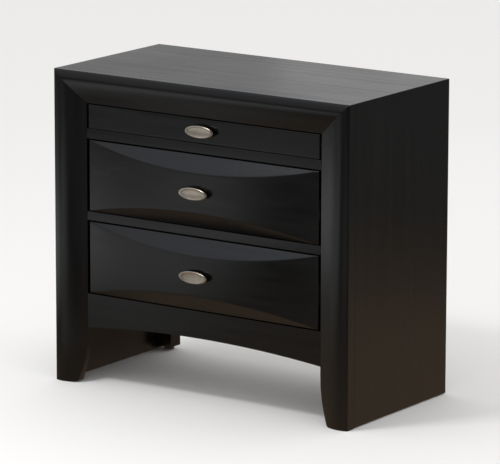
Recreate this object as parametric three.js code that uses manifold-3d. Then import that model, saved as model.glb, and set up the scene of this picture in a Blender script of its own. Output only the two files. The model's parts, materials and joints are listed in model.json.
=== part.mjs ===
// A nightstand with two bow-front drawers and one slim drawer over them.
// Millimetres, +Z up. X is the width, -Y the front. The origin is on the floor, under the middle.
// The pieces are laid out with y = 0 at the front frame's outer edge and y growing to the back,
// and the last group shifts them so that the whole depth is centred.
import * as THREE from "three";
import * as BufferGeometryUtils from "three/addons/utils/BufferGeometryUtils.js";
import Module from "manifold-3d";

const wasm = await Module();
wasm.setup();

// ---------- driving dimensions ----------

const WIDTH = 711;
const HEIGHT = 644;
const BODY_DEPTH = 358; // frame's outer edge to the back
const GAP = 0.3; // between glued or screwed neighbours
const PAST = 1; // how far a cutting outline reaches past the piece it cuts

// front frame: a crowned moulding, mitred at the top corners
const STILE_WIDTH = 72.4;
const TOP_RAIL_HEIGHT = 65;
const FRAME_BACK = 22;
const CROWN_RADIUS = 47;
const CROWN_PEAK = 19; // from the outer edge to the crown's proudest line
const FRAME_SLOPE = THREE.MathUtils.degToRad(19); // of the flat that falls to the inner edge

// foot at the bottom of each stile
const LEG_SPRING = 100; // height where the leg's inner edge starts to curve outwards
const LEG_RADIUS = 235;
const TOE_RADIUS = 10;

// case
const PANEL = 19;
const SIDE_BOTTOM = 2;
const BACK_THICKNESS = 5;
const RABBET = 8; // how far the back panel laps the side and top panels
const REAR_LEG = 34;
const REAR_LEG_BOTTOM = 8;
const CORNER_BLOCK = 10;
const GLIDE_RADIUS = 11;

const FLOOR_PANEL = { bottom: 163, top: 175 };

// front openings, from the floor up
const APRON_ENDS = 117; // underside of the apron at its ends
const APRON_RISE = 15; // how much its arch rises in the middle
const APRON_TOP = 187.5;
const LOWER_RAIL = { bottom: 339.5, top: 357.5 };
const UPPER_RAIL = { bottom: 507, top: 527 };
const OPENING_TOP = HEIGHT - TOP_RAIL_HEIGHT;
const RAIL_DEPTH = 40;
const APRON_THICKNESS = 20;

// drawer fronts
const FRONT_BACK = 34; // plane of the fronts' flat backs
const BOW_EDGE = 12; // the bowed fronts' ends, behind the frame's outer edge
const BOW = 22; // how far the middle stands proud of the ends
const LENS_HEIGHT = 33; // of the sloped flats along the bowed fronts' top and bottom, at the middle

// drawer boxes and slides
const BOARD = 12;
const BOX_BACK = 334;
const BOX_BOTTOM_THICKNESS = 5;
const GROOVE_DEPTH = 6;
const BOX_CLEARANCE = 14; // each side, between the box and the opening
const SLIDE_SPACE = 13; // each side, between the box and the cleat
const SLIDE_SHEET = 1.2;
const SLIDE_LENGTH = 300;
const SLIDE_START = 36; // just behind the drawer fronts
const CHANNEL_OPENING = 2.2; // between the case channel's mouth and the box
const CHANNEL_LIP = 2.5;
const RUNNER_INSET = 7; // of the drawer channel's flanges inside the case channel
const RUNNER_CLEARANCE = 2;
const CLEAT_HEIGHT = 40;

// knobs
const KNOB_LENGTH = 12;
const KNOB_HALF_WIDTH = 33.8;
const KNOB_HALF_HEIGHT = 12.7;
const RIM_RADIUS = 2.4;
const SCREW_RADIUS = 2;
const SCREW_REACH = 6; // how far the screw goes into the knob
const SCREW_HEAD_RADIUS = 4.5;
const SCREW_HEAD_THICKNESS = 2.5;

const slimDrawer = {
  name: "slim", bowed: false, bottom: 528, top: 576.5, sideGap: 4.5,
  boxBottom: 533, boxTop: 565, grooveUp: 5, slideHeight: 27,
};
const middleDrawer = {
  name: "middle", bowed: true, bottom: 358.7, top: 504.5, sideGap: 6,
  boxBottom: 370, boxTop: 478, grooveUp: 10, slideHeight: 35,
};
const lowerDrawer = {
  name: "lower", bowed: true, bottom: 189.5, top: 337, sideGap: 6,
  boxBottom: 200, boxTop: 308, grooveUp: 10, slideHeight: 35,
};
const drawers = [slimDrawer, middleDrawer, lowerDrawer];

// ---------- sizes that follow from them ----------

const HALF = WIDTH / 2;
const OPENING_HALF = HALF - STILE_WIDTH;
const CROWN_PROUD = CROWN_RADIUS - Math.sqrt(CROWN_RADIUS ** 2 - CROWN_PEAK ** 2);
const CROWN_CENTRE_Y = CROWN_RADIUS - CROWN_PROUD;
const SLOPE_START = CROWN_PEAK + CROWN_RADIUS * Math.sin(FRAME_SLOPE);
const SLOPE_START_Y = CROWN_CENTRE_Y - CROWN_RADIUS * Math.cos(FRAME_SLOPE);
const FRAME_INNER_Y = SLOPE_START_Y + (STILE_WIDTH - SLOPE_START) * Math.tan(FRAME_SLOPE);
const BOX_HALF = OPENING_HALF - BOX_CLEARANCE;
const CLEAT_INNER = BOX_HALF + SLIDE_SPACE;
const SUBFRONT_BACK = FRONT_BACK + GAP + BOARD;
const FRONT_MIDDLE_Y = BOW_EDGE - BOW;
const DEPTH_SHIFT = (BODY_DEPTH + FRONT_MIDDLE_Y - GAP - KNOB_LENGTH) / 2;
const BEHIND_FRAME = FRAME_BACK + GAP;
const INSIDE_HALF = HALF - PANEL - GAP;
const BACK_PANEL_FRONT = BODY_DEPTH - RABBET + GAP;

// ---------- materials ----------

const finish = (name, color, roughness, metalness) =>
  Object.assign(new THREE.MeshStandardMaterial({ color, roughness, metalness }), { name });

const blackPaint = finish("black_paint", 0x171817, 0.38, 0);
const drawerWood = finish("drawer_wood", 0xc9a878, 0.6, 0);
const backBoard = finish("back_board", 0x3a2d22, 0.8, 0);
const satinNickel = finish("satin_nickel", 0xb9ad98, 0.3, 1);
const zincSteel = finish("zinc_steel", 0xb4b8bc, 0.35, 1);
const glideNylon = finish("glide_nylon", 0x1a1a1a, 0.6, 0);

// ---------- geometry helpers ----------

const X = new THREE.Vector3(1, 0, 0);
const Y = new THREE.Vector3(0, 1, 0);
const Z = new THREE.Vector3(0, 0, 1);

function toShape(points) {
  return new THREE.Shape(points.map(([u, v]) => new THREE.Vector2(u, v)));
}

function extrude(points, length) {
  return new THREE.ExtrudeGeometry(toShape(points), { depth: length, bevelEnabled: false });
}

// outline of (x, y) points, standing from z0 to z1
function alongZ(points, z0, z1) {
  return extrude(points, z1 - z0).translate(0, 0, z0);
}

// outline of (y, z) points, running from x0 to x1
function alongX(points, x0, x1) {
  const turned = new THREE.Matrix4().makeBasis(Y, Z, X);
  return extrude(points, x1 - x0).applyMatrix4(turned).translate(x0, 0, 0);
}

// outline of (x, z) points, running from y0 to y1
function alongY(points, y0, y1) {
  const turned = new THREE.Matrix4().makeBasis(X, Z, Y.clone().negate());
  return extrude(points, y1 - y0).applyMatrix4(turned).translate(0, y1, 0);
}

function block([x0, x1], [y0, y1], [z0, z1]) {
  const box = new THREE.BoxGeometry(Math.abs(x1 - x0), y1 - y0, z1 - z0);
  return box.translate((x0 + x1) / 2, (y0 + y1) / 2, (z0 + z1) / 2);
}

// points on a circle from angle a0 to a1, in radians
function arc(cu, cv, radius, a0, a1, steps) {
  return Array.from({ length: steps + 1 }, (_, i) => {
    const a = a0 + ((a1 - a0) * i) / steps;
    return [cu + radius * Math.cos(a), cv + radius * Math.sin(a)];
  });
}

const mirrored = (points, side) => points.map(([u, v]) => [side * u, v]);

function toManifold(geometry) {
  const bare = geometry.clone();
  bare.deleteAttribute("normal");
  bare.deleteAttribute("uv");
  const merged = BufferGeometryUtils.mergeVertices(bare, 1e-4);
  const vertProperties = new Float32Array(merged.attributes.position.array);
  const triVerts = new Uint32Array(merged.index.array);
  return new wasm.Manifold(new wasm.Mesh({ numProp: 3, vertProperties, triVerts }));
}

function toGeometry(manifold) {
  const mesh = manifold.getMesh();
  const geometry = new THREE.BufferGeometry();
  geometry.setAttribute("position", new THREE.BufferAttribute(mesh.vertProperties, 3));
  geometry.setIndex(new THREE.BufferAttribute(mesh.triVerts, 1));
  const flat = geometry.toNonIndexed();
  flat.computeVertexNormals();
  return flat;
}

const common = (a, b) => toGeometry(toManifold(a).intersect(toManifold(b)));
const cut = (a, b) => toGeometry(toManifold(a).subtract(toManifold(b)));

function cylinderAlongY(radius, y0, y1, segments) {
  return new THREE.CylinderGeometry(radius, radius, y1 - y0, segments).translate(0, (y0 + y1) / 2, 0);
}

// ---------- assembly ----------

const pieces = new THREE.Group();

function add(name, geometry, material, place = [0, 0, 0]) {
  const mesh = new THREE.Mesh(geometry, material);
  mesh.name = name;
  mesh.position.set(...place);
  pieces.add(mesh);
}

const sides = [
  ["left", -1],
  ["right", 1],
];

// ---------- front frame ----------

// moulding section as (distance from the outer edge, y); stretch fits it to a narrower rail
function frameSection(stretch) {
  const start = Math.atan2(-CROWN_CENTRE_Y, -CROWN_PEAK);
  const end = -Math.PI / 2 + FRAME_SLOPE;
  const crown = arc(CROWN_PEAK, CROWN_CENTRE_Y, CROWN_RADIUS, start, end, 12);
  const flat = [STILE_WIDTH, FRAME_INNER_Y];
  const section = [...crown, flat, [STILE_WIDTH, FRAME_BACK], [0, FRAME_BACK]];
  return section.map(([w, y]) => [w * stretch, y]);
}

// a stile seen from the front: mitred at the top, its foot curving to the outside at the bottom
function stileOutline() {
  const bend = Math.asin((LEG_SPRING - TOE_RADIUS) / LEG_RADIUS);
  const legEdge = STILE_WIDTH - LEG_RADIUS;
  const leg = arc(legEdge, LEG_SPRING, LEG_RADIUS, 0, -bend, 10);
  const [ankle] = leg[leg.length - 1];
  const toe = arc(ankle - TOE_RADIUS, TOE_RADIUS, TOE_RADIUS, -bend, -Math.PI / 2, 4);
  const mitre = [[0, HEIGHT - GAP], [STILE_WIDTH, OPENING_TOP - GAP]];
  const fromOuterEdge = [[0, 0], ...mitre, ...leg, ...toe.slice(1)];
  return fromOuterEdge.map(([w, z]) => [HALF - w, z]);
}

function frontFrame() {
  const plan = frameSection(1).map(([w, y]) => [HALF - w, y]);
  for (const [name, side] of sides) {
    const moulding = alongZ(mirrored(plan, side), -PAST, HEIGHT + PAST);
    const face = alongY(mirrored(stileOutline(), side), -CROWN_RADIUS, FRAME_BACK + PAST);
    add(`${name}_stile`, common(moulding, face), blackPaint);
  }
  const railSection = frameSection(TOP_RAIL_HEIGHT / STILE_WIDTH).map(([w, y]) => [y, HEIGHT - w]);
  const railFace = [
    [-HALF, HEIGHT],
    [HALF, HEIGHT],
    [OPENING_HALF, OPENING_TOP],
    [-OPENING_HALF, OPENING_TOP],
  ];
  const moulding = alongX(railSection, -HALF - PAST, HALF + PAST);
  add("frame_top_rail", common(moulding, alongY(railFace, -CROWN_RADIUS, FRAME_BACK + PAST)), blackPaint);
}

function dividerRails() {
  for (const [name, rail] of [["lower_divider_rail", LOWER_RAIL], ["upper_divider_rail", UPPER_RAIL]]) {
    const width = [-OPENING_HALF + GAP, OPENING_HALF - GAP];
    const depth = [FRAME_INNER_Y, FRAME_INNER_Y + RAIL_DEPTH];
    add(name, block(width, depth, [rail.bottom, rail.top]), blackPaint);
  }
}

function apron() {
  const half = OPENING_HALF - GAP;
  const radius = (half ** 2 + APRON_RISE ** 2) / (2 * APRON_RISE);
  const spread = Math.asin(half / radius);
  const crest = APRON_ENDS + APRON_RISE;
  const arch = arc(0, crest - radius, radius, Math.PI / 2 + spread, Math.PI / 2 - spread, 20);
  const outline = [...arch, [half, APRON_TOP], [-half, APRON_TOP]];
  add("apron", alongY(outline, FRAME_INNER_Y, FRAME_INNER_Y + APRON_THICKNESS), blackPaint);
}

// ---------- case ----------

function sidePanels() {
  // plan of a panel, with the rabbet for the back at its inner rear corner
  const plan = [
    [HALF, BEHIND_FRAME],
    [HALF, BODY_DEPTH],
    [HALF - PANEL + RABBET, BODY_DEPTH],
    [HALF - PANEL + RABBET, BODY_DEPTH - RABBET],
    [HALF - PANEL, BODY_DEPTH - RABBET],
    [HALF - PANEL, BEHIND_FRAME],
  ];
  const mitred = [
    [HALF, SIDE_BOTTOM],
    [HALF, HEIGHT - GAP],
    [HALF - PANEL, HEIGHT - GAP - PANEL],
    [HALF - PANEL, SIDE_BOTTOM],
  ];
  for (const [name, side] of sides) {
    const board = alongZ(mirrored(plan, side), 0, HEIGHT + PAST);
    const face = alongY(mirrored(mitred, side), 0, BODY_DEPTH + PAST);
    add(`${name}_side_panel`, common(board, face), blackPaint);
  }
}

function topPanel() {
  const section = [
    [BEHIND_FRAME, HEIGHT],
    [BEHIND_FRAME, HEIGHT - PANEL],
    [BODY_DEPTH - RABBET, HEIGHT - PANEL],
    [BODY_DEPTH - RABBET, HEIGHT - PANEL + RABBET],
    [BODY_DEPTH, HEIGHT - PANEL + RABBET],
    [BODY_DEPTH, HEIGHT],
  ];
  const mitred = [
    [-HALF, HEIGHT],
    [HALF, HEIGHT],
    [HALF - PANEL, HEIGHT - PANEL],
    [-HALF + PANEL, HEIGHT - PANEL],
  ];
  const board = alongX(section, -HALF - PAST, HALF + PAST);
  add("top_panel", common(board, alongY(mitred, 0, BODY_DEPTH + PAST)), blackPaint);
}

function backAndFloor() {
  const lap = HALF - PANEL + RABBET - GAP;
  const depth = [BACK_PANEL_FRONT, BACK_PANEL_FRONT + BACK_THICKNESS];
  const height = [FLOOR_PANEL.bottom, HEIGHT - PANEL + RABBET - GAP];
  add("back_panel", block([-lap, lap], depth, height), backBoard);
  const floorDepth = [FRAME_INNER_Y + APRON_THICKNESS + GAP, BACK_PANEL_FRONT - GAP];
  const floorHeight = [FLOOR_PANEL.bottom, FLOOR_PANEL.top];
  add("floor_panel", block([-INSIDE_HALF, INSIDE_HALF], floorDepth, floorHeight), backBoard);
}

function rearLegs() {
  const inner = INSIDE_HALF - REAR_LEG;
  const middle = INSIDE_HALF - REAR_LEG / 2;
  const front = BODY_DEPTH - REAR_LEG;
  for (const [name, side] of sides) {
    const post = block([side * inner, side * INSIDE_HALF], [front, BODY_DEPTH],
      [REAR_LEG_BOTTOM, FLOOR_PANEL.bottom - GAP]);
    add(`${name}_rear_leg`, post, blackPaint);
    const height = REAR_LEG_BOTTOM - GAP;
    const glide = new THREE.CylinderGeometry(GLIDE_RADIUS, GLIDE_RADIUS, height, 24).rotateX(Math.PI / 2);
    add(`${name}_rear_glide`, glide, glideNylon, [side * middle, front + REAR_LEG / 2, height / 2]);
  }
}

// blocks glued in the corner behind each stile, under the floor panel
function cornerBlocks() {
  const width = STILE_WIDTH - PANEL - 2 * GAP;
  const depth = [BEHIND_FRAME, BEHIND_FRAME + CORNER_BLOCK];
  const height = [LEG_SPRING + GAP, FLOOR_PANEL.bottom - GAP];
  for (const [name, side] of sides) {
    const across = [side * (INSIDE_HALF - width), side * INSIDE_HALF];
    add(`${name}_corner_block`, block(across, depth, height), drawerWood);
  }
}

// ---------- drawers ----------

// a bowed front: plan arc in front, flat behind, sloped flats along its top and bottom edges
function bowedFront(drawer) {
  const half = OPENING_HALF - drawer.sideGap;
  const radius = (half ** 2 + BOW ** 2) / (2 * BOW);
  const spread = Math.asin(half / radius);
  const centre = FRONT_MIDDLE_Y + radius;
  const bow = arc(0, centre, radius, -Math.PI / 2 - spread, -Math.PI / 2 + spread, 24);
  const plan = [...bow, [half, FRONT_BACK], [-half, FRONT_BACK]];
  const section = [
    [FRONT_BACK, drawer.bottom],
    [BOW_EDGE, drawer.bottom],
    [FRONT_MIDDLE_Y, drawer.bottom + LENS_HEIGHT],
    [FRONT_MIDDLE_Y - PAST, drawer.bottom + LENS_HEIGHT],
    [FRONT_MIDDLE_Y - PAST, drawer.top - LENS_HEIGHT],
    [FRONT_MIDDLE_Y, drawer.top - LENS_HEIGHT],
    [BOW_EDGE, drawer.top],
    [FRONT_BACK, drawer.top],
  ];
  const blank = alongZ(plan, drawer.bottom, drawer.top);
  return common(blank, alongX(section, -half - PAST, half + PAST));
}

function flatFront(drawer) {
  const half = OPENING_HALF - drawer.sideGap;
  return block([-half, half], [FRAME_INNER_Y, FRONT_BACK], [drawer.bottom, drawer.top]);
}

function drilled(geometry, z, y0, y1) {
  return cut(geometry, cylinderAlongY(SCREW_RADIUS + GAP, y0 - PAST, y1 + PAST, 16).translate(0, 0, z));
}

// section of a box board as (across, z), grooved on its inner face for the bottom panel
function groovedSection(outer, inner, drawer) {
  const into = inner + Math.sign(outer - inner) * GROOVE_DEPTH;
  const low = drawer.boxBottom + drawer.grooveUp;
  const high = low + BOX_BOTTOM_THICKNESS + 2 * GAP;
  return [
    [outer, drawer.boxBottom],
    [outer, drawer.boxTop],
    [inner, drawer.boxTop],
    [inner, high],
    [into, high],
    [into, low],
    [inner, low],
    [inner, drawer.boxBottom],
  ];
}

function drawerBox(drawer) {
  const panelLow = drawer.boxBottom + drawer.grooveUp + GAP;
  const panelHigh = panelLow + BOX_BOTTOM_THICKNESS;
  const inside = BOX_HALF - BOARD;
  const between = inside - GAP;
  const front = FRONT_BACK + GAP;
  for (const [name, side] of sides) {
    const section = mirrored(groovedSection(BOX_HALF, inside, drawer), side);
    add(`${drawer.name}_box_${name}_side`, alongY(section, front, BOX_BACK), drawerWood);
  }
  const subfront = alongX(groovedSection(front, SUBFRONT_BACK, drawer), -between, between);
  const middle = (drawer.bottom + drawer.top) / 2;
  add(`${drawer.name}_box_front`, drilled(subfront, middle, front, SUBFRONT_BACK), drawerWood);
  const back = block([-between, between], [BOX_BACK - BOARD, BOX_BACK], [panelHigh + GAP, drawer.boxTop]);
  add(`${drawer.name}_box_back`, back, drawerWood);
  const lap = inside + GROOVE_DEPTH - GAP;
  const panelFront = SUBFRONT_BACK - GROOVE_DEPTH + GAP;
  const bottom = block([-lap, lap], [panelFront, BOX_BACK], [panelLow, panelHigh]);
  add(`${drawer.name}_box_bottom`, bottom, drawerWood);
}

// ---------- slides ----------

// (x, z) section of the lipped channel on the cleat, open towards the drawer
function caseSection(height) {
  const back = CLEAT_INNER - GAP;
  const open = BOX_HALF + CHANNEL_OPENING;
  const top = height / 2;
  const lip = top - SLIDE_SHEET - CHANNEL_LIP;
  const t = SLIDE_SHEET;
  return [
    [back, -top], [back, top], [open, top], [open, lip], [open + t, lip], [open + t, top - t],
    [back - t, top - t], [back - t, -top + t],
    [open + t, -top + t], [open + t, -lip], [open, -lip], [open, -top],
  ];
}

// (x, z) section of the channel on the drawer side, which runs inside the other
function drawerSection(height) {
  const web = BOX_HALF + GAP;
  const reach = CLEAT_INNER - GAP - SLIDE_SHEET - RUNNER_CLEARANCE;
  const top = height / 2 - RUNNER_INSET;
  const t = SLIDE_SHEET;
  return [
    [web, -top], [web, top], [reach, top], [reach, top - t],
    [web + t, top - t], [web + t, -top + t], [reach, -top + t], [reach, -top],
  ];
}

function slides(drawer) {
  const height = (drawer.boxBottom + drawer.boxTop) / 2;
  for (const [name, side] of sides) {
    const channel = alongY(mirrored(caseSection(drawer.slideHeight), side), 0, SLIDE_LENGTH);
    add(`${drawer.name}_case_slide_${name}`, channel, zincSteel, [0, SLIDE_START, height]);
    const runner = alongY(mirrored(drawerSection(drawer.slideHeight), side), 0, BOX_BACK - SLIDE_START);
    add(`${drawer.name}_drawer_slide_${name}`, runner, zincSteel, [0, SLIDE_START, height]);
    const cleat = block([side * CLEAT_INNER, side * INSIDE_HALF], [BEHIND_FRAME, BACK_PANEL_FRONT - GAP],
      [-CLEAT_HEIGHT / 2, CLEAT_HEIGHT / 2]);
    add(`${drawer.name}_${name}_cleat`, cleat, drawerWood, [0, 0, height]);
  }
}

// ---------- knobs ----------

// oval knob: a turned profile of (radius, distance from the drawer front), then flattened.
// A flared base, a waist, and a head whose rounded rim stands round a shallow dish.
function knobGeometry() {
  const rimCentre = [KNOB_HALF_WIDTH - RIM_RADIUS, KNOB_LENGTH - RIM_RADIUS];
  const rim = arc(...rimCentre, RIM_RADIUS, -Math.PI / 2, Math.PI * 0.8, 8);
  const profile = [
    [0, 0], [16, 0], [16, 1.2], [13, 2.2], [11.4, 3.8], [13.4, 5.4], [20, 6.8], ...rim,
    [24, 10.3], [12, 9.8], [0, 9.6],
  ];
  const turned = new THREE.LatheGeometry(profile.map(([r, y]) => new THREE.Vector2(r, y)), 36);
  const flattened = turned.scale(1, 1, KNOB_HALF_HEIGHT / KNOB_HALF_WIDTH);
  return flattened.rotateX(Math.PI);
}

function knob(drawer) {
  const z = (drawer.bottom + drawer.top) / 2;
  const base = (drawer.bowed ? FRONT_MIDDLE_Y : FRAME_INNER_Y) - GAP;
  const tip = base - SCREW_REACH;
  const body = cut(knobGeometry(), cylinderAlongY(SCREW_RADIUS + GAP, -SCREW_REACH - GAP, PAST, 16));
  add(`${drawer.name}_knob`, body, satinNickel, [0, base, z]);
  const headFront = SUBFRONT_BACK + GAP;
  const shank = cylinderAlongY(SCREW_RADIUS, tip, headFront + PAST, 16);
  const head = cylinderAlongY(SCREW_HEAD_RADIUS, headFront, headFront + SCREW_HEAD_THICKNESS, 16);
  const screw = toGeometry(toManifold(shank).add(toManifold(head)));
  add(`${drawer.name}_knob_screw`, screw, zincSteel, [0, 0, z]);
}

// ---------- everything together ----------

frontFrame();
dividerRails();
apron();
sidePanels();
topPanel();
backAndFloor();
rearLegs();
cornerBlocks();
for (const drawer of drawers) {
  const front = drawer.bowed ? bowedFront(drawer) : flatFront(drawer);
  const middle = (drawer.bottom + drawer.top) / 2;
  add(`${drawer.name}_drawer_front`, drilled(front, middle, -BODY_DEPTH / 2, FRONT_BACK), blackPaint);
  drawerBox(drawer);
  slides(drawer);
  knob(drawer);
}

pieces.position.y = -DEPTH_SHIFT;
const nightstand = new THREE.Group();
nightstand.add(pieces);

export default nightstand;
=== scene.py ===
"""The looks of the nightstand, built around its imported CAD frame.

Black lacquered case with a crowned, mitred front frame, bow-front drawers with lens-shaped
flats, oval nickel knobs, and light wooden drawer boxes on zinc-plated slides.
"""

import json
import math

import bmesh
import bpy
from mathutils import Matrix, Vector

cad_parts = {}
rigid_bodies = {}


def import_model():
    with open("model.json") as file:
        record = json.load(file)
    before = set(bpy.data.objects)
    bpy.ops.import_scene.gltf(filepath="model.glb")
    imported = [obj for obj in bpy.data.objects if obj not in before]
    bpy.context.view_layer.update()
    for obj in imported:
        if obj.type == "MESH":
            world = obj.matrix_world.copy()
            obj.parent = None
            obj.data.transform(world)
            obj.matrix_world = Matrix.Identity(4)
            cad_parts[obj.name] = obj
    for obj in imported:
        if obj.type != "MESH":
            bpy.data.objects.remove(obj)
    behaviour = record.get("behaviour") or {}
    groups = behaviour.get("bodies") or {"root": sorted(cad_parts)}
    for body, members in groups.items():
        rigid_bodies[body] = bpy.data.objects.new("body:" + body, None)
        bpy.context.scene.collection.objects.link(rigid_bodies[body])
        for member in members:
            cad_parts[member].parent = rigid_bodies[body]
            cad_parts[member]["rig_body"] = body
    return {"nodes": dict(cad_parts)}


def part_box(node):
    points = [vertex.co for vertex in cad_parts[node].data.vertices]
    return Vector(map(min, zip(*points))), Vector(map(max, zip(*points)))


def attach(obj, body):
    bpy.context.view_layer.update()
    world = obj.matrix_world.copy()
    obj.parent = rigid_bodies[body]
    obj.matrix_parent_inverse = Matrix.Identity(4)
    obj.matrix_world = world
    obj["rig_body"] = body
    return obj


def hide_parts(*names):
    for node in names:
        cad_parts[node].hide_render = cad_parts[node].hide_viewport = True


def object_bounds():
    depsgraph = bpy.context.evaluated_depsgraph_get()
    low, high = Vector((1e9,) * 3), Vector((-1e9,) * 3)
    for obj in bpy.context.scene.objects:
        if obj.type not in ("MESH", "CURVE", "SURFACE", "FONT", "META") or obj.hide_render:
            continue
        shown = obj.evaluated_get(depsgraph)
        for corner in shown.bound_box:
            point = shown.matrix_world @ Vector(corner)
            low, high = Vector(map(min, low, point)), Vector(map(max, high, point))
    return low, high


MM = 0.001

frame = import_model()
cad_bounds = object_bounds()
scene = bpy.context.scene

DRAWERS = ("slim", "middle", "lower")
SIDES = (("left", -1), ("right", 1))

# ---------- sizes read from the frame ----------

STILE_LOW, STILE_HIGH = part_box("right_stile")
RAIL_LOW, RAIL_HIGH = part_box("frame_top_rail")
APRON_LOW, APRON_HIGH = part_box("apron")
HALF = STILE_HIGH.x
OPENING_HALF = STILE_LOW.x
STILE_WIDTH = HALF - OPENING_HALF
TOP = RAIL_HIGH.z
RAIL_HEIGHT = TOP - RAIL_LOW.z
FRAME_BACK = STILE_HIGH.y

# the moulding keeps the crown and the inner edge of the CAD's section: a crown, then a flat
CROWN_RADIUS = 47 * MM
CROWN_PEAK = 19 * MM
FRAME_SLOPE = math.radians(19)
CROWN_CENTRE_Y = STILE_LOW.y + CROWN_RADIUS
FLAT_START = CROWN_PEAK + CROWN_RADIUS * math.sin(FRAME_SLOPE)
FLAT_START_Y = CROWN_CENTRE_Y - CROWN_RADIUS * math.cos(FRAME_SLOPE)
INNER_EDGE_Y = FLAT_START_Y + (STILE_WIDTH - FLAT_START) * math.tan(FRAME_SLOPE)
# here the crown runs into the slope without a line, and the slope steepens over this length
FIRST_SLOPE = 0.3 * FRAME_SLOPE
STEEPENING = 15 * MM
SLOPE_START = CROWN_PEAK + CROWN_RADIUS * math.sin(FIRST_SLOPE)
SLOPE_START_Y = CROWN_CENTRE_Y - CROWN_RADIUS * math.cos(FIRST_SLOPE)
SLOPE_SPAN = STILE_WIDTH - SLOPE_START
EASED_SPAN = STEEPENING * (1 - math.exp(-SLOPE_SPAN / STEEPENING))
SLOPE_FALL = INNER_EDGE_Y - SLOPE_START_Y
FINAL_FALL = (SLOPE_FALL - math.tan(FIRST_SLOPE) * EASED_SPAN) / (SLOPE_SPAN - EASED_SPAN)

# the foot's outline, as in the CAD
LEG_SPRING = 100 * MM
LEG_RADIUS = 235 * MM
TOE_RADIUS = 10 * MM

# the arch under the apron
APRON_RISE = 15 * MM


# ---------- materials ----------

class Nodes:
    """Short names for building a node tree."""

    def __init__(self, tree):
        self.tree = tree

    def new(self, kind, **settings):
        node = self.tree.nodes.new("ShaderNode" + kind)
        for key, value in settings.items():
            setattr(node, key, value)
        return node

    def link(self, source, target):
        self.tree.links.new(source, target)

    def coordinates(self, scale):
        place = self.new("TexCoord")
        mapping = self.new("Mapping")
        mapping.inputs["Scale"].default_value = scale
        self.link(place.outputs["Object"], mapping.inputs["Vector"])
        return mapping.outputs["Vector"]

    def along(self, vector, direction):
        """Length of a vector along a fixed direction."""
        node = self.new("VectorMath", operation="DOT_PRODUCT")
        self.link(vector, node.inputs[0])
        node.inputs[1].default_value = direction
        return node.outputs["Value"]

    def mix(self, factor, a, b):
        """Blends from colour a to colour b."""
        node = self.new("Mix", data_type="RGBA")
        for socket, value in zip((node.inputs[0], node.inputs[6], node.inputs[7]), (factor, a, b)):
            if isinstance(value, (tuple, float)):
                socket.default_value = (*value, 1) if isinstance(value, tuple) else value
            else:
                self.link(value, socket)
        return node.outputs[2]

    def noise(self, vector, scale, detail=3.0, roughness=0.55, distortion=0.0):
        node = self.new("TexNoise")
        node.inputs["Scale"].default_value = scale
        node.inputs["Detail"].default_value = detail
        node.inputs["Roughness"].default_value = roughness
        node.inputs["Distortion"].default_value = distortion
        self.link(vector, node.inputs["Vector"])
        return node.outputs["Fac"]

    def spread(self, value, low, high, to_low, to_high):
        """Maps low..high to to_low..to_high, and holds the ends."""
        node = self.new("MapRange")
        node.inputs["From Min"].default_value = low
        node.inputs["From Max"].default_value = high
        node.inputs["To Min"].default_value = to_low
        node.inputs["To Max"].default_value = to_high
        self.link(value, node.inputs["Value"])
        return node.outputs["Result"]

    def math(self, operation, a, b):
        node = self.new("Math", operation=operation)
        for socket, value in zip(node.inputs, (a, b)):
            if isinstance(value, (int, float)):
                socket.default_value = value
            else:
                self.link(value, socket)
        return node.outputs[0]

    def ramp(self, value, stops):
        node = self.new("ValToRGB")
        elements = node.color_ramp.elements
        while len(elements) < len(stops):
            elements.new(0.5)
        for element, (position, color) in zip(elements, stops):
            element.position = position
            element.color = (*color, 1)
        self.link(value, node.inputs["Fac"])
        return node.outputs["Color"]

    def bump(self, height, distance, before=None):
        node = self.new("Bump")
        node.inputs["Strength"].default_value = 1.0
        node.inputs["Distance"].default_value = distance
        self.link(height, node.inputs["Height"])
        if before is not None:
            self.link(before, node.inputs["Normal"])
        return node.outputs["Normal"]


class Finish(Nodes):
    """One material around its principled shader."""

    def __init__(self, name, color):
        self.material = bpy.data.materials.new(name)
        self.material.use_nodes = True
        self.material.diffuse_color = (*color, 1)
        super().__init__(self.material.node_tree)
        self.shader = self.tree.nodes["Principled BSDF"]


def grain_scale(axis, along, across):
    """Texture scale that stretches a pattern along one axis of the row frame."""
    return tuple(along if i == "xyz".index(axis) else across for i in range(3))


def black_lacquer(axis):
    """Satin black lacquer over open-pored veneer whose grain runs along one axis."""
    n = Finish("black_lacquer_grain_" + axis, (0.012, 0.012, 0.012))
    figure = n.noise(n.coordinates(grain_scale(axis, 2.5, 70)), 1.0, detail=5, distortion=0.3)
    pores = n.noise(n.coordinates(grain_scale(axis, 40, 1300)), 1.0, detail=2)
    cloud = n.noise(n.coordinates((1, 1, 1)), 5.0, detail=4)
    peel = n.noise(n.coordinates((1, 1, 1)), 420.0, detail=2)
    stops = [(0.3, (0.0009, 0.0009, 0.0009)), (0.7, (0.0024, 0.0023, 0.0022))]
    n.link(n.ramp(figure, stops), n.shader.inputs["Base Color"])
    streaks = n.spread(figure, 0.3, 0.7, 0.0, 0.09)
    patches = n.spread(cloud, 0.3, 0.7, 0.17, 0.22)
    n.link(n.math("ADD", streaks, patches), n.shader.inputs["Roughness"])
    pits = n.spread(pores, 0.56, 0.72, 1.0, 0.0)
    relief = n.bump(pits, 0.018 * MM)
    n.link(n.bump(peel, 0.009 * MM, relief), n.shader.inputs["Normal"])
    n.shader.inputs["Specular IOR Level"].default_value = 0.5
    return n.material


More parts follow.
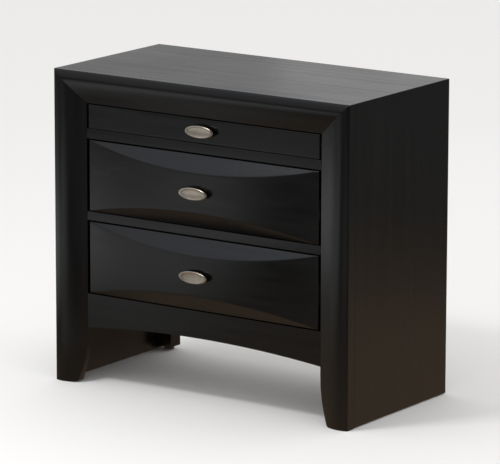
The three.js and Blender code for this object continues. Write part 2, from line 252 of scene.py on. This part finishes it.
def drawer_wood(axis):
    """Clear-sealed light hardwood, for drawer boxes and cleats."""
    n = Finish("drawer_wood_grain_" + axis, (0.58, 0.4, 0.22))
    figure = n.noise(n.coordinates(grain_scale(axis, 1.6, 38)), 1.0, detail=6, distortion=1.2)
    fibres = n.noise(n.coordinates(grain_scale(axis, 24, 900)), 1.0, detail=3)
    patch = n.noise(n.coordinates((1, 1, 1)), 3.0)
    mixed = n.math("ADD", n.math("MULTIPLY", figure, 0.75), n.math("MULTIPLY", fibres, 0.25))
    stops = [(0.32, (0.36, 0.215, 0.105)), (0.5, (0.55, 0.37, 0.205)), (0.68, (0.68, 0.5, 0.31))]
    n.link(n.ramp(mixed, stops), n.shader.inputs["Base Color"])
    n.link(n.spread(patch, 0.3, 0.7, 0.42, 0.56), n.shader.inputs["Roughness"])
    n.link(n.bump(fibres, 0.03 * MM), n.shader.inputs["Normal"])
    return n.material


def hardboard():
    """Dark brown hardboard of the back and the floor panel."""
    n = Finish("brown_hardboard", (0.06, 0.04, 0.025))
    fibres = n.noise(n.coordinates((1, 1, 1)), 260.0, detail=6, roughness=0.7)
    blotch = n.noise(n.coordinates((1, 1, 1)), 9.0, detail=4)
    mixed = n.math("ADD", n.math("MULTIPLY", fibres, 0.6), n.math("MULTIPLY", blotch, 0.4))
    stops = [(0.3, (0.03, 0.018, 0.011)), (0.5, (0.065, 0.042, 0.026)), (0.72, (0.11, 0.075, 0.048))]
    n.link(n.ramp(mixed, stops), n.shader.inputs["Base Color"])
    n.link(n.spread(blotch, 0.3, 0.7, 0.62, 0.8), n.shader.inputs["Roughness"])
    n.link(n.bump(fibres, 0.05 * MM), n.shader.inputs["Normal"])
    return n.material


def satin_nickel():
    """Warm satin nickel, brushed along the knob's long axis."""
    n = Finish("satin_nickel", (0.6, 0.54, 0.45))
    brushing = n.noise(n.coordinates((30, 900, 2600)), 1.0, detail=3)
    tarnish = n.noise(n.coordinates((1, 1, 1)), 60.0, detail=3)
    stops = [(0.3, (0.47, 0.415, 0.34)), (0.7, (0.62, 0.56, 0.475))]
    n.link(n.ramp(tarnish, stops), n.shader.inputs["Base Color"])
    n.shader.inputs["Metallic"].default_value = 1.0
    n.link(n.spread(brushing, 0.3, 0.7, 0.25, 0.37), n.shader.inputs["Roughness"])
    n.link(n.bump(brushing, 0.004 * MM), n.shader.inputs["Normal"])
    return n.material


def zinc_steel():
    """Zinc-plated steel, with a faint spangle and rolling lines along the slide."""
    n = Finish("zinc_steel", (0.6, 0.62, 0.65))
    lines = n.noise(n.coordinates((1200, 12, 1200)), 1.0, detail=2)
    spangle = n.noise(n.coordinates((1, 1, 1)), 120.0, detail=2)
    stops = [(0.3, (0.5, 0.52, 0.55)), (0.7, (0.66, 0.68, 0.7))]
    n.link(n.ramp(spangle, stops), n.shader.inputs["Base Color"])
    n.shader.inputs["Metallic"].default_value = 1.0
    n.link(n.spread(spangle, 0.3, 0.7, 0.26, 0.4), n.shader.inputs["Roughness"])
    n.link(n.bump(lines, 0.004 * MM), n.shader.inputs["Normal"])
    return n.material


def nylon():
    """Black moulded nylon of the glides."""
    n = Finish("black_nylon", (0.02, 0.02, 0.02))
    scuffs = n.noise(n.coordinates((1, 1, 1)), 300.0, detail=4)
    stops = [(0.35, (0.012, 0.012, 0.012)), (0.75, (0.035, 0.034, 0.033))]
    n.link(n.ramp(scuffs, stops), n.shader.inputs["Base Color"])
    n.link(n.spread(scuffs, 0.3, 0.7, 0.45, 0.65), n.shader.inputs["Roughness"])
    n.link(n.bump(scuffs, 0.02 * MM), n.shader.inputs["Normal"])
    return n.material


BLACK = {axis: black_lacquer(axis) for axis in "xyz"}
WOOD = {axis: drawer_wood(axis) for axis in "xyz"}
HARDBOARD = hardboard()
NICKEL = satin_nickel()
ZINC = zinc_steel()
NYLON = nylon()


# ---------- mesh helpers ----------

BOARD_EASING = 0.6 * MM
SLIDE_EASING = 0.3 * MM
MERGE_DISTANCE = 0.005 * MM
FLAT_WITHIN = math.radians(0.2)


def body_of(node):
    """The moving body that carries a CAD node."""
    return frame["nodes"][node]["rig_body"]


def piece(name, bm, node, material, smooth_angle=35):
    """Turns a bmesh into the shown piece that stands for a CAD node."""
    bmesh.ops.recalc_face_normals(bm, faces=bm.faces)
    mesh = bpy.data.meshes.new(name)
    bm.to_mesh(mesh)
    bm.free()
    mesh.materials.append(material)
    mesh.shade_smooth()
    mesh.set_sharp_from_angle(angle=math.radians(smooth_angle))
    obj = bpy.data.objects.new(name, mesh)
    scene.collection.objects.link(obj)
    weighted = obj.modifiers.new("weighted_normals", "WEIGHTED_NORMAL")
    weighted.keep_sharp = True
    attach(obj, body_of(node))
    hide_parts(node)


def ease(bm, width, segments=2, angle=30, chosen=None):
    """Rounds the edges sharper than an angle, or only those that a test picks."""
    sharp = [e for e in bm.edges
             if len(e.link_faces) == 2 and e.calc_face_angle() > math.radians(angle)
             and (chosen is None or chosen(e))]
    bmesh.ops.bevel(bm, geom=sharp, offset=width, offset_type="OFFSET", segments=segments,
                    profile=0.5, affect="EDGES", clamp_overlap=False)


def cad_copy(node):
    """A bmesh of a CAD node with its flat faces whole again."""
    bm = bmesh.new()
    bm.from_mesh(frame["nodes"][node].data)
    bmesh.ops.remove_doubles(bm, verts=bm.verts, dist=MERGE_DISTANCE)
    bmesh.ops.dissolve_limit(bm, angle_limit=FLAT_WITHIN, verts=bm.verts, edges=bm.edges)
    return bm


def eased(node, material, width=BOARD_EASING):
    """The CAD node's own shape with its edges rounded."""
    bm = cad_copy(node)
    ease(bm, width)
    piece(node + "_eased", bm, node, material)


def loft(bm, loops):
    """Skins a row of closed loops with equal counts, and caps both ends."""
    rows = [[bm.verts.new(p) for p in loop] for loop in loops]
    count = len(rows[0])
    for a, b in zip(rows, rows[1:]):
        for i in range(count):
            j = (i + 1) % count
            bm.faces.new((a[i], a[j], b[j], b[i]))
    bm.faces.new(reversed(rows[0]))
    bm.faces.new(rows[-1])


def spaced(low, high, steps):
    """Evenly spaced values from low to high, both ends included."""
    return [low + (high - low) * i / steps for i in range(steps + 1)]


# ---------- front frame ----------

MOULDING_STEPS = 56
TOE_STEPS = 8
LEG_STEPS = 28
ARCH_STEPS = 72
OUTER_ROUNDING = 1.4 * MM
OUTER_ROUNDING_STEPS = 4
FRAME_EASING = 0.5 * MM
# the frame's edges sharper than this many degrees are eased, which leaves the crown alone
FRAME_SHARP = 40
ON_PLANE = 0.01 * MM
CLEAR_OF_BACK = 1 * MM


def moulding_y(w):
    """Face of the moulding at a distance w from its outer edge."""
    if w < SLOPE_START:
        return CROWN_CENTRE_Y - math.sqrt(CROWN_RADIUS ** 2 - (w - CROWN_PEAK) ** 2)
    run = w - SLOPE_START
    eased_run = STEEPENING * (1 - math.exp(-run / STEEPENING))
    return SLOPE_START_Y + FINAL_FALL * (run - eased_run) + math.tan(FIRST_SLOPE) * eased_run


def leg_edge(z):
    """Distance of the stile's inner edge from its outer edge at a height z."""
    bend = math.asin((LEG_SPRING - TOE_RADIUS) / LEG_RADIUS)
    ankle = STILE_WIDTH - LEG_RADIUS * (1 - math.cos(bend))
    toe_height = TOE_RADIUS * (1 - math.sin(bend))
    if z >= LEG_SPRING:
        return STILE_WIDTH
    if z >= TOE_RADIUS:
        return STILE_WIDTH - LEG_RADIUS + math.sqrt(LEG_RADIUS ** 2 - (LEG_SPRING - z) ** 2)
    if z > toe_height:
        return ankle - (TOE_RADIUS - z) * math.tan(bend)
    return ankle - TOE_RADIUS + math.sqrt(TOE_RADIUS ** 2 - (TOE_RADIUS - z) ** 2)


def on_outer_arris(edge):
    """Whether an edge of a stile runs along its outer front corner."""
    return all(abs(abs(v.co.x) - HALF) < ON_PLANE and v.co.y < FRAME_BACK - CLEAR_OF_BACK
               for v in edge.verts)


def stile(name, side):
    node = f"{name}_stile"
    low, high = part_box(node)
    drop = RAIL_HEIGHT / STILE_WIDTH
    shares = spaced(0, 1, MOULDING_STEPS)
    loops = []
    for z in spaced(low.z, TOE_RADIUS, TOE_STEPS) + spaced(TOE_RADIUS, LEG_SPRING, LEG_STEPS)[1:]:
        edge = leg_edge(z)
        face = [(side * (HALF - w), moulding_y(w), z) for w in (edge * s for s in shares)]
        loops.append(face + [(side * (HALF - edge), FRAME_BACK, z), (side * HALF, FRAME_BACK, z)])
    widths = [STILE_WIDTH * s for s in shares]
    mitre = [(side * (HALF - w), moulding_y(w), high.z - w * drop) for w in widths]
    mitre.append((side * OPENING_HALF, FRAME_BACK, high.z - RAIL_HEIGHT))
    mitre.append((side * HALF, FRAME_BACK, high.z))
    loops.append(mitre)
    bm = bmesh.new()
    loft(bm, loops)
    ease(bm, OUTER_ROUNDING, OUTER_ROUNDING_STEPS, chosen=on_outer_arris)
    ease(bm, FRAME_EASING, angle=FRAME_SHARP)
    piece(node + "_moulded", bm, node, BLACK["z"])


def top_rail():
    stretch = RAIL_HEIGHT / STILE_WIDTH
    widths = spaced(0, STILE_WIDTH, MOULDING_STEPS)
    loops = []
    for side in (-1, 1):
        face = [(side * (HALF - w), moulding_y(w), TOP - w * stretch) for w in widths]
        back = [(side * OPENING_HALF, FRAME_BACK, RAIL_LOW.z), (side * HALF, FRAME_BACK, TOP)]
        loops.append(face + back)
    bm = bmesh.new()
    loft(bm, loops)
    ease(bm, FRAME_EASING, angle=FRAME_SHARP)
    piece("frame_top_rail_moulded", bm, "frame_top_rail", BLACK["x"])


def apron():
    half = APRON_HIGH.x
    radius = (half ** 2 + APRON_RISE ** 2) / (2 * APRON_RISE)
    centre_z = APRON_LOW.z + APRON_RISE - radius
    arch = [(x, centre_z + math.sqrt(radius ** 2 - x ** 2)) for x in spaced(-half, half, ARCH_STEPS)]
    outline = arch + [(half, APRON_HIGH.z), (-half, APRON_HIGH.z)]
    bm = bmesh.new()
    loft(bm, [[(x, y, z) for x, z in outline] for y in (APRON_LOW.y, APRON_HIGH.y)])
    ease(bm, BOARD_EASING)
    piece("apron_arched", bm, "apron", BLACK["x"])


# ---------- drawer fronts ----------

BOW = 22 * MM
LENS_HEIGHT = 33 * MM
CREASE_SOFTNESS = 0.25 * MM
# the rows of points lie close together this far to each side of a crease
CREASE_REACH = 1.6 * MM
FRONT_EASING = 1.1 * MM
BACK_EASING = 0.8 * MM
BOWED_COLUMNS = 96
SLIM_COLUMNS = 32
SLIM_ROWS = 8


def bow_y(x, half, middle_y):
    """Plan arc of a bowed front."""
    radius = (half ** 2 + BOW ** 2) / (2 * BOW)
    return middle_y + radius - math.sqrt(radius ** 2 - x ** 2)


def rounding(distance, radius):
    """How far a rounded edge falls back at a distance from the board's outline."""
    if distance >= radius:
        return 0
    return radius - math.sqrt(radius ** 2 - (radius - distance) ** 2)


def soft_max(a, b, softness):
    """The greater of two values, with a rounded change from one to the other."""
    return (a + b) / 2 + math.sqrt((a - b) ** 2 / 4 + softness ** 2)


def shell(bm, grid, back_y, easing):
    """Closes a grid of face points, rows from bottom to top, with edges and a flat back."""
    rows = [[bm.verts.new(p) for p in row] for row in grid]
    for a, b in zip(rows, rows[1:]):
        for i in range(len(a) - 1):
            bm.faces.new((a[i], a[i + 1], b[i + 1], b[i]))
    rim = rows[0][:-1] + [r[-1] for r in rows[:-1]] + rows[-1][:0:-1] + [r[0] for r in rows[:0:-1]]
    low, high = Vector(grid[0][0]), Vector(grid[-1][-1])
    rings = [rim]
    for inward, y in ((0, back_y - easing), (easing * 0.3, back_y - easing * 0.3), (easing, back_y)):
        ring = []
        for v in rim:
            x = min(max(v.co.x, low.x + inward), high.x - inward)
            z = min(max(v.co.z, low.z + inward), high.z - inward)
            ring.append(bm.verts.new((x, y, z)))
        rings.append(ring)
    for a, b in zip(rings, rings[1:]):
        for i in range(len(rim)):
            j = (i + 1) % len(rim)
            bm.faces.new((a[j], a[i], b[i], b[j]))
    bm.faces.new(rings[-1])


def edge_steps(radius):
    """Distances from a board's outline at which its rounded edge is sampled."""
    return [0, radius * 0.08, radius * 0.3, radius * 0.62, radius]


def front_columns(half, steps):
    """Places across a drawer front, packed close at both rounded ends."""
    inner = spaced(-half + FRONT_EASING, half - FRONT_EASING, steps)
    ends = edge_steps(FRONT_EASING)[:-1]
    return [-half + e for e in ends] + inner + [half - e for e in reversed(ends)]


def bowed_front(drawer):
    node = f"{drawer}_drawer_front"
    low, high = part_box(node)
    half, middle_y = high.x, low.y
    edge_y = middle_y + BOW
    lean = BOW / LENS_HEIGHT

    def face_y(x, z):
        up, down = z - low.z, high.z - z
        bow = bow_y(x, half, middle_y)
        flat = edge_y - min(up, down) * lean
        y = soft_max(bow, flat, CREASE_SOFTNESS) - CREASE_SOFTNESS * 0.2
        return max(y, bow) + rounding(min(up, down, x + half, half - x), FRONT_EASING)

    def lower_half(x):
        """Heights over the bottom edge, packed close along the lens's crease."""
        crease = (edge_y - bow_y(x, half, middle_y)) / lean
        crease = max(crease, FRONT_EASING + CREASE_REACH * 1.25)
        flat = spaced(FRONT_EASING, crease - CREASE_REACH, 8)
        fold = [crease + CREASE_REACH * s for s in (-0.5, -0.2, 0, 0.2, 0.5)]
        bow = spaced(crease + CREASE_REACH, (high.z - low.z) / 2, 10)
        return edge_steps(FRONT_EASING)[:-1] + flat + fold + bow

    columns = []
    for x in front_columns(half, BOWED_COLUMNS):
        up = lower_half(x)
        heights = [low.z + h for h in up] + [high.z - h for h in reversed(up[:-1])]
        columns.append([(x, face_y(x, z), z) for z in heights])
    bm = bmesh.new()
    shell(bm, list(zip(*columns)), high.y, BACK_EASING)
    piece(f"{node}_bowed", bm, node, BLACK["x"])


def slim_front():
    node = "slim_drawer_front"
    low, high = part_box(node)
    heights = [low.z + e for e in edge_steps(FRONT_EASING)] + spaced(low.z, high.z, SLIM_ROWS)[1:-1]
    heights += [high.z - e for e in reversed(edge_steps(FRONT_EASING))]

    def face(x, z):
        inside = min(z - low.z, high.z - z, x - low.x, high.x - x)
        return (x, low.y + rounding(inside, FRONT_EASING), z)

    columns = front_columns(high.x, SLIM_COLUMNS)
    bm = bmesh.new()
    shell(bm, [[face(x, z) for x in columns] for z in heights], high.y, BACK_EASING)
    piece(f"{node}_flat", bm, node, BLACK["x"])


# ---------- knobs and their screws ----------

KNOB_STEPS = 112
# (radius, distance from the drawer front) on the knob's long axis, in millimetres
KNOB_BACK = [(15.6, 0), (16, 0.3), (15.9, 0.9), (14.9, 1.5), (13, 2.2), (11.8, 3), (11.4, 3.8),
             (12, 4.7), (13.6, 5.5), (16.4, 6.2), (20.6, 6.8), (25.5, 7.15), (29, 7.3)]
KNOB_DISH = [(25.3, 11.4), (23, 11.15), (18, 10.9), (12, 10.75), (6, 10.65)]
RIM_CENTRE = (29, 9.6)
RIM_HALF_WIDTH = 4.8
RIM_RISE = 2.4
RIM_START = math.radians(-80)
RIM_END = math.radians(115)
RIM_STEPS = 14

# (radius, distance forward) of the head, in millimetres, from the rim to the middle
SCREW_HEAD = [(4.3, 0), (4.5, 0.3), (4.2, 1.4), (3.2, 2.1), (2.6, 2.3), (2.2, 2.35), (1.6, 2.4),
              (0.9, 2.45)]
SCREW_HEAD_HEIGHT = 2.5 * MM
SCREW_HEAD_STEPS = 40
CROSS_HALF_WIDTH = 0.42 * MM
CROSS_REACH = 2.3 * MM
CROSS_DEPTH = 1.1 * MM
CROSS_START = 2 * MM
SHANK_RADIUS = 2 * MM
SHANK_POINT_RADIUS = 1.4 * MM
SHANK_POINT_LENGTH = 1 * MM
SHANK_STEPS = 24


def turned(bm, profile, centre, squash, steps):
    """Turns (radius, forward) rings about the -Y axis through a centre, flattened in z."""
    rings = []
    for radius, forward in profile:
        ring = []
        for i in range(steps):
            a = 2 * math.pi * i / steps
            offset = Vector((radius * math.cos(a), -forward, radius * squash * math.sin(a)))
            ring.append(bm.verts.new(centre + offset))
        rings.append(ring)
    for a, b in zip(rings, rings[1:]):
        for i in range(steps):
            j = (i + 1) % steps
            bm.faces.new((a[i], a[j], b[j], b[i]))
    bm.faces.new(reversed(rings[0]))
    tip = bm.verts.new(centre + Vector((0, -profile[-1][1], 0)))
    for i in range(steps):
        bm.faces.new((rings[-1][i], rings[-1][(i + 1) % steps], tip))


def in_metres(profile):
    return [(radius * MM, forward * MM) for radius, forward in profile]


def knob(drawer):
    node = f"{drawer}_knob"
    low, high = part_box(node)
    centre = Vector(((low.x + high.x) / 2, high.y, (low.z + high.z) / 2))
    half_width = (high.x - low.x) / 2
    squash = (high.z - low.z) / 2 / half_width
    rim = [(RIM_CENTRE[0] + RIM_HALF_WIDTH * math.cos(a), RIM_CENTRE[1] + RIM_RISE * math.sin(a))
           for a in spaced(RIM_START, RIM_END, RIM_STEPS)]
    bm = bmesh.new()
    turned(bm, in_metres(KNOB_BACK + rim + KNOB_DISH), centre, squash, KNOB_STEPS)
    piece(f"{node}_turned", bm, node, NICKEL, smooth_angle=60)


def knob_screw(drawer):
    """A cross-head screw whose head lies inside the drawer box."""
    node = f"{drawer}_knob_screw"
    low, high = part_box(node)
    middle = (low + high) / 2
    under_head = Vector((middle.x, high.y - SCREW_HEAD_HEIGHT, middle.z))
    bm = bmesh.new()
    turned(bm, in_metres(SCREW_HEAD), Vector((0, 0, 0)), 1, SCREW_HEAD_STEPS)
    for v in bm.verts:
        in_arm = min(abs(v.co.x), abs(v.co.z)) < CROSS_HALF_WIDTH
        if in_arm and math.hypot(v.co.x, v.co.z) < CROSS_REACH and v.co.y < -CROSS_START:
            v.co.y += CROSS_DEPTH
    half_turn = Matrix.Rotation(math.pi, 3, "Z")
    bmesh.ops.rotate(bm, verts=bm.verts, cent=(0, 0, 0), matrix=half_turn)
    bmesh.ops.translate(bm, verts=bm.verts, vec=under_head)
    length = under_head.y - low.y
    shank = [(SHANK_RADIUS, 0), (SHANK_RADIUS, length - SHANK_POINT_LENGTH), (SHANK_POINT_RADIUS, length)]
    turned(bm, shank, under_head, 1, SHANK_STEPS)
    piece(f"{node}_cross_head", bm, node, ZINC)


# ---------- glides, back and staples ----------

GLIDE_CHAMFER = 1 * MM
GLIDE_ROUNDING = 2 * MM
GLIDE_STEPS = 48


def glide(side):
    """A round glide under a rear leg, rounded where it meets the floor."""
    node = f"{side}_rear_glide"
    low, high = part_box(node)
    middle = (low + high) / 2
    radius, height = (high.x - low.x) / 2, high.z - low.z
    profile = [(radius - GLIDE_CHAMFER, 0), (radius, GLIDE_CHAMFER),
               (radius, height - GLIDE_ROUNDING * 1.2),
               (radius - GLIDE_ROUNDING * 0.3, height - GLIDE_ROUNDING * 0.4),
               (radius - GLIDE_ROUNDING, height), (radius * 0.45, height)]
    bm = bmesh.new()
    turned(bm, profile, Vector((0, 0, 0)), 1, GLIDE_STEPS)
    quarter_turn = Matrix.Rotation(math.radians(90), 3, "X")
    bmesh.ops.rotate(bm, verts=bm.verts, cent=(0, 0, 0), matrix=quarter_turn)
    bmesh.ops.translate(bm, verts=bm.verts, vec=(middle.x, middle.y, high.z))
    piece(f"{node}_moulded", bm, node, NYLON)


STAPLE_LENGTH = 10 * MM
STAPLE_WIDTH = 1.1 * MM
STAPLE_THICKNESS = 0.66 * MM
STAPLE_EASING = 0.22 * MM
STAPLE_SPACING = 95 * MM
STAPLE_INSET = 5 * MM
STAPLE_LOW_INSET = 7 * MM
# how far the first and last staple of a column or a row stay from the panel's corners
COLUMN_MARGIN = 30 * MM
ROW_MARGIN = 50 * MM


def staple_places(low, high):
    """(x, z, lies level) of each staple around the edges of the back panel."""
    places = []
    count = round((high.z - low.z) / STAPLE_SPACING)
    for x in (low.x + STAPLE_INSET, high.x - STAPLE_INSET):
        places += [(x, z, False) for z in spaced(low.z + COLUMN_MARGIN, high.z - COLUMN_MARGIN, count)]
    count = round((high.x - low.x) / STAPLE_SPACING)
    for z in (low.z + STAPLE_LOW_INSET, high.z - STAPLE_INSET):
        places += [(x, z, True) for x in spaced(low.x + ROW_MARGIN, high.x - ROW_MARGIN, count)]
    return places


def staples():
    """Crowns of the staples that hold the back panel, lying along its edges."""
    low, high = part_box("back_panel")
    bm = bmesh.new()
    for x, z, level in staple_places(low, high):
        made = bmesh.ops.create_cube(bm, size=1)["verts"]
        length, rise = (STAPLE_LENGTH, STAPLE_WIDTH) if level else (STAPLE_WIDTH, STAPLE_LENGTH)
        bmesh.ops.scale(bm, vec=(length, STAPLE_THICKNESS, rise), verts=made)
        bmesh.ops.translate(bm, vec=(x, high.y, z), verts=made)
    ease(bm, STAPLE_EASING, 3)
    mesh = bpy.data.meshes.new("back_panel_staples")
    bm.to_mesh(mesh)
    bm.free()
    mesh.materials.append(ZINC)
    mesh.shade_smooth()
    obj = bpy.data.objects.new("back_panel_staples", mesh)
    scene.collection.objects.link(obj)
    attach(obj, "cabinet")


# ---------- camera, floor and light ----------

CAMERA_YAW = math.radians(34.754)
CAMERA_PITCH = math.radians(12.29)
CAMERA_ROLL = math.radians(0.126)
CAMERA_DISTANCE = 7.9
CAMERA_LENS = 287.45
AIM_FROM_CENTRE = Vector((70, -90, 25)) * MM
FLOOR_HALF_SIZE = 20
# half size of the glowing card of painted floor reflection, and how far it lies under the floor
PAINTED_REFLECTION_HALF_SIZE = 12
PAINTED_REFLECTION_DROP = 1 * MM


def add_camera():
    low, high = (Vector(v) for v in cad_bounds)
    aim = (low + high) / 2 + AIM_FROM_CENTRE
    forward = Vector((-math.sin(CAMERA_YAW) * math.cos(CAMERA_PITCH),
                      math.cos(CAMERA_YAW) * math.cos(CAMERA_PITCH),
                      -math.sin(CAMERA_PITCH)))
    data = bpy.data.cameras.new("camera")
    data.lens = CAMERA_LENS
    data.clip_end = 100
    camera = bpy.data.objects.new("camera", data)
    turn = forward.to_track_quat("-Z", "Y").to_matrix() @ Matrix.Rotation(CAMERA_ROLL, 3, "Z")
    camera.matrix_world = Matrix.Translation(aim - forward * CAMERA_DISTANCE) @ turn.to_4x4()
    scene.collection.objects.link(camera)
    scene.camera = camera


def add_floor():
    """The pale floor; gloss mirrors the glowing card of painted floor reflection under it instead."""
    bm = bmesh.new()
    bmesh.ops.create_grid(bm, x_segments=1, y_segments=1, size=FLOOR_HALF_SIZE)
    mesh = bpy.data.meshes.new("studio_floor")
    bm.to_mesh(mesh)
    bm.free()
    n = Finish("pale_floor", (0.85, 0.84, 0.82))
    n.shader.inputs["Base Color"].default_value = (0.86, 0.85, 0.84, 1)
    n.shader.inputs["Roughness"].default_value = 0.9
    mesh.materials.append(n.material)
    floor = bpy.data.objects.new("studio_floor", mesh)
    scene.collection.objects.link(floor)
    floor.visible_glossy = False


FRONT_AIM = (0, -0.1, 0.35)
TOP_AIM = (0, 0, 0.6)
SKY_BLUE = (0.66, 0.78, 1.0)


def add_area(name, place, aim, size, power, color=(1, 1, 1)):
    data = bpy.data.lights.new(name, "AREA")
    data.shape = "RECTANGLE"
    data.size, data.size_y = size
    data.energy = power
    data.color = color
    light = bpy.data.objects.new(name, data)
    light.location = place
    light.rotation_euler = (Vector(aim) - Vector(place)).to_track_quat("-Z", "Y").to_euler()
    scene.collection.objects.link(light)


WHITE = (1.0, 1.0, 1.0)
DIM_WALL = (0.08, 0.08, 0.08)
LEFT_WALL = (0.48, 0.48, 0.49)
RIGHT_WALL = (0.6, 0.6, 0.6)
BACK_WALL = (0.5, 0.5, 0.505)


def add_world():
    """A plain white dome for light and background; gloss sees the studio's walls."""
    world = bpy.data.worlds.new("studio")
    world.use_nodes = True
    scene.world = world
    n = Nodes(world.node_tree)
    direction = n.new("TexCoord").outputs["Generated"]
    leftward = n.spread(n.along(direction, (-1, 0, 0)), 0.1, 0.6, 0, 1)
    rightward = n.spread(n.along(direction, (1, 0, 0)), 0.6, 0.9, 0, 1)
    backward = n.spread(n.along(direction, (0, 1, 0)), 0.2, 0.8, 0, 1)
    walls = n.mix(leftward, DIM_WALL, LEFT_WALL)
    walls = n.mix(rightward, walls, RIGHT_WALL)
    walls = n.mix(backward, walls, BACK_WALL)
    dome = n.mix(n.new("LightPath").outputs["Is Glossy Ray"], WHITE, walls)
    n.link(dome, n.tree.nodes["Background"].inputs["Color"])
    n.tree.nodes["Background"].inputs["Strength"].default_value = 1.0


# painted reflection of the far floor, where no patch reaches
FAR_PAINTED_REFLECTION = (0.075, 0.074, 0.072)
# each patch of painted floor reflection as the lacquer mirrors it: centre, radii between which it fades,
# colour; the bright patches at the front left are painted pools of light, the warm patch near the object
# is painted bounce light, and the dark warm patch under the object is painted shadow
PAINTED_REFLECTION_PATCHES = (
    ((2.3, 2.7, 0), (0.6, 2.0), (0.15, 0.147, 0.144)),
    ((-5.4, -7.6, 0), (2.6, 4.3), (0.24, 0.24, 0.24)),
    ((-0.9, -3.1, 0), (0.3, 1.0), (0.13, 0.13, 0.13)),
    ((2.2, -0.3, 0), (0.9, 1.6), (0.6, 0.6, 0.6)),
    ((0.2, -1.7, 0), (0.2, 0.55), (0.45, 0.45, 0.45)),
    ((0.3, -2.3, 0), (0.2, 0.6), (0.3, 0.3, 0.3)),
    ((0.45, 0.25, 0), (0.45, 1.7), (0.37, 0.265, 0.18)),
    ((-0.05, 0.15, 0), (0.15, 0.37), (0.15, 0.11, 0.08)),
    ((-1.67, -0.75, 0), (0.25, 0.92), (1.1, 1.12, 1.12)),
    ((-1.15, -1.85, 0), (0.22, 0.62), (1.0, 1.02, 1.02)),
    ((-0.9, -1.2, 0), (0.2, 0.55), (0.7, 0.71, 0.71)),
    ((-0.5, -0.6, 0), (0.1, 0.27), (0.35, 0.35, 0.34)),
)


def add_painted_floor_reflection():
    """The floor as gloss mirrors it, painted on a glowing card: painted warm bounce light near the
    object, painted shadow under it, painted pools of light at the front left.
    """
    bm = bmesh.new()
    bmesh.ops.create_grid(bm, x_segments=1, y_segments=1, size=PAINTED_REFLECTION_HALF_SIZE)
    mesh = bpy.data.meshes.new("painted_floor_reflection")
    bm.to_mesh(mesh)
    bm.free()
    n = Finish("painted_floor_reflection", (0.2, 0.2, 0.2))
    place = n.new("TexCoord").outputs["Object"]
    painted_reflection = FAR_PAINTED_REFLECTION
    for centre, (inner, outer), color in PAINTED_REFLECTION_PATCHES:
        gap = n.new("VectorMath", operation="DISTANCE")
        n.link(place, gap.inputs[0])
        gap.inputs[1].default_value = centre
        # each patch mixes painted light and painted shadow into the painted reflection
        painted_reflection = n.mix(n.spread(gap.outputs["Value"], inner, outer, 1, 0), painted_reflection, color)
    n.shader.inputs["Base Color"].default_value = (0, 0, 0, 1)
    n.shader.inputs["Specular IOR Level"].default_value = 0
    n.link(painted_reflection, n.shader.inputs["Emission Color"])
    n.shader.inputs["Emission Strength"].default_value = 1.0
    mesh.materials.append(n.material)
    card = bpy.data.objects.new("painted_floor_reflection", mesh)
    card.location.z = -PAINTED_REFLECTION_DROP
    scene.collection.objects.link(card)
    for ray in ("camera", "diffuse", "shadow", "transmission", "volume_scatter"):
        setattr(card, "visible_" + ray, False)


scene.view_settings.view_transform = "Standard"
add_camera()
add_floor()
add_world()
add_painted_floor_reflection()
add_area("front_left_softbox", (-0.95, -1.25, 1.75), FRONT_AIM, (1.0, 1.0), 1.1, SKY_BLUE)
add_area("key_light", (-0.4, -1.2, 2.3), FRONT_AIM, (0.4, 0.3), 17)
add_area("back_softbox", (-1.0, 2.5, 1.3), TOP_AIM, (1.1, 1.2), 0.75)

# ---------- the pieces ----------

for side_name, side_sign in SIDES:
    stile(side_name, side_sign)
top_rail()
apron()
slim_front()
bowed_front("middle")
bowed_front("lower")
staples()
for side_name, _ in SIDES:
    glide(side_name)

boards = {
    "top_panel": (BLACK["x"], "black_paint"),
    "left_side_panel": (BLACK["z"], "black_paint"),
    "right_side_panel": (BLACK["z"], "black_paint"),
    "upper_divider_rail": (BLACK["x"], "black_paint"),
    "lower_divider_rail": (BLACK["x"], "black_paint"),
    "left_rear_leg": (BLACK["z"], "black_paint"),
    "right_rear_leg": (BLACK["z"], "black_paint"),
    "left_corner_block": (BLACK["z"], "black_paint"),
    "right_corner_block": (BLACK["z"], "black_paint"),
    "back_panel": (HARDBOARD, "back_board"),
    "floor_panel": (HARDBOARD, "back_board"),
}
for drawer_name in DRAWERS:
    knob(drawer_name)
    knob_screw(drawer_name)
    for board in ("box_left_side", "box_right_side"):
        boards[f"{drawer_name}_{board}"] = (WOOD["y"], "drawer_wood")
    for board in ("box_front", "box_back", "box_bottom"):
        boards[f"{drawer_name}_{board}"] = (WOOD["x"], "drawer_wood")
    for side_name, _ in SIDES:
        boards[f"{drawer_name}_{side_name}_cleat"] = (WOOD["y"], "drawer_wood")
for name, (material, slot_name) in boards.items():
    eased(name, material)

for drawer_name in DRAWERS:
    for side_name, _ in SIDES:
        for member in ("case_slide", "drawer_slide"):
            eased(f"{drawer_name}_{member}_{side_name}", ZINC, SLIDE_EASING)
